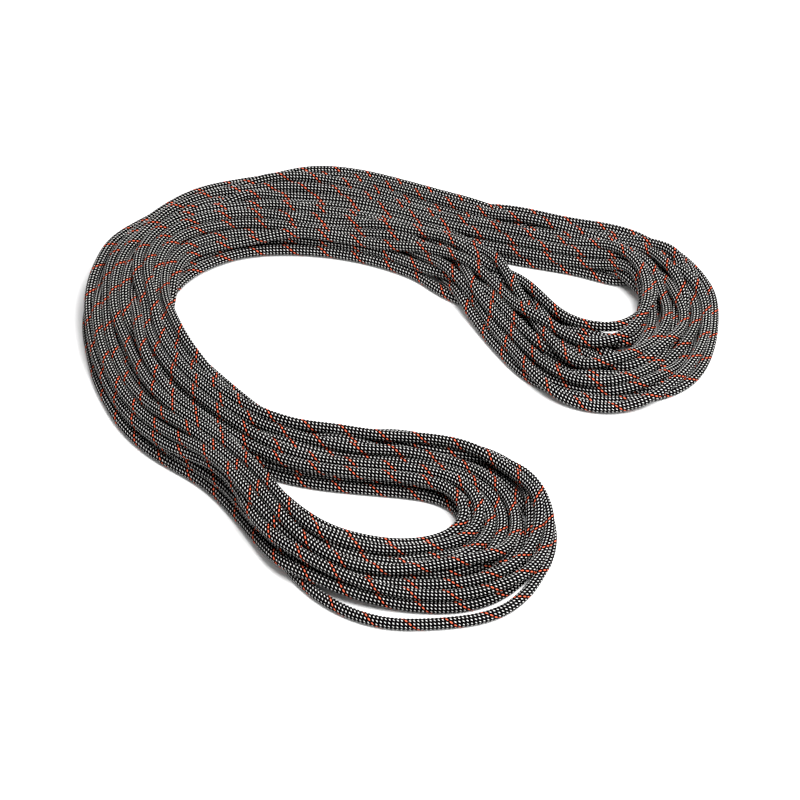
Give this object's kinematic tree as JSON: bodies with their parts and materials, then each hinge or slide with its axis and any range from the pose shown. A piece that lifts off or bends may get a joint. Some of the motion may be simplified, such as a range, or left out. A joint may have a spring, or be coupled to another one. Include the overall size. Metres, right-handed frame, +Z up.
{
  "type": "dynamic climbing rope",
  "caption": "Kernmantle climbing rope with a diamond-braided sheath and heat-shrunk ends, lying flat as an untied horseshoe-shaped hank.",
  "frame": {"origin": "on the surface the hank lies on, under the middle of the whole rope's box", "axes": "+Z up; the horseshoe's back is towards -X and its mouth and both eyes are towards +X; -Y is the near side of the hank"},
  "size_m": [0.5948, 0.5948, 0.04],
  "materials": {
    "sheath": "tightly braided black polyamide with off-white flecks and one orange-red tracer yarn, matt with a slight sheen",
    "core_strand": "soft undyed twisted polyamide yarn",
    "tracer_tape": "thin matt film",
    "end_sleeve": "black heat-shrunk film, satin",
    "fused_tip": "melted black polyamide, uneven gloss"
  },
  "bodies": {
    "rope": {"back_end_core_strand_01": "core_strand", "back_end_core_strand_02": "core_strand", "back_end_core_strand_03": "core_strand", "back_end_core_strand_04": "core_strand", "back_end_core_strand_05": "core_strand", "back_end_core_strand_06": "core_strand", "back_end_core_strand_07": "core_strand", "back_end_core_strand_08": "core_strand", "back_end_core_strand_09": "core_strand", "back_end_core_strand_10": "core_strand", "back_end_core_strand_11": "core_strand", "back_end_core_strand_12": "core_strand", "back_end_end_sleeve": "end_sleeve", "back_end_fused_tip": "fused_tip", "back_end_sheath": "sheath", "back_end_tail": "sheath", "back_end_tracer_tape": "tracer_tape", "hank": "sheath", "inner_end_core_strand_01": "core_strand", "inner_end_core_strand_02": "core_strand", "inner_end_core_strand_03": "core_strand", "inner_end_core_strand_04": "core_strand", "inner_end_core_strand_05": "core_strand", "inner_end_core_strand_06": "core_strand", "inner_end_core_strand_07": "core_strand", "inner_end_core_strand_08": "core_strand", "inner_end_core_strand_09": "core_strand", "inner_end_core_strand_10": "core_strand", "inner_end_core_strand_11": "core_strand", "inner_end_core_strand_12": "core_strand", "inner_end_end_sleeve": "end_sleeve", "inner_end_fused_tip": "fused_tip", "inner_end_sheath": "sheath", "inner_end_tail": "sheath", "inner_end_tracer_tape": "tracer_tape", "slack_turn": "sheath"}
  },
  "joints": []
}
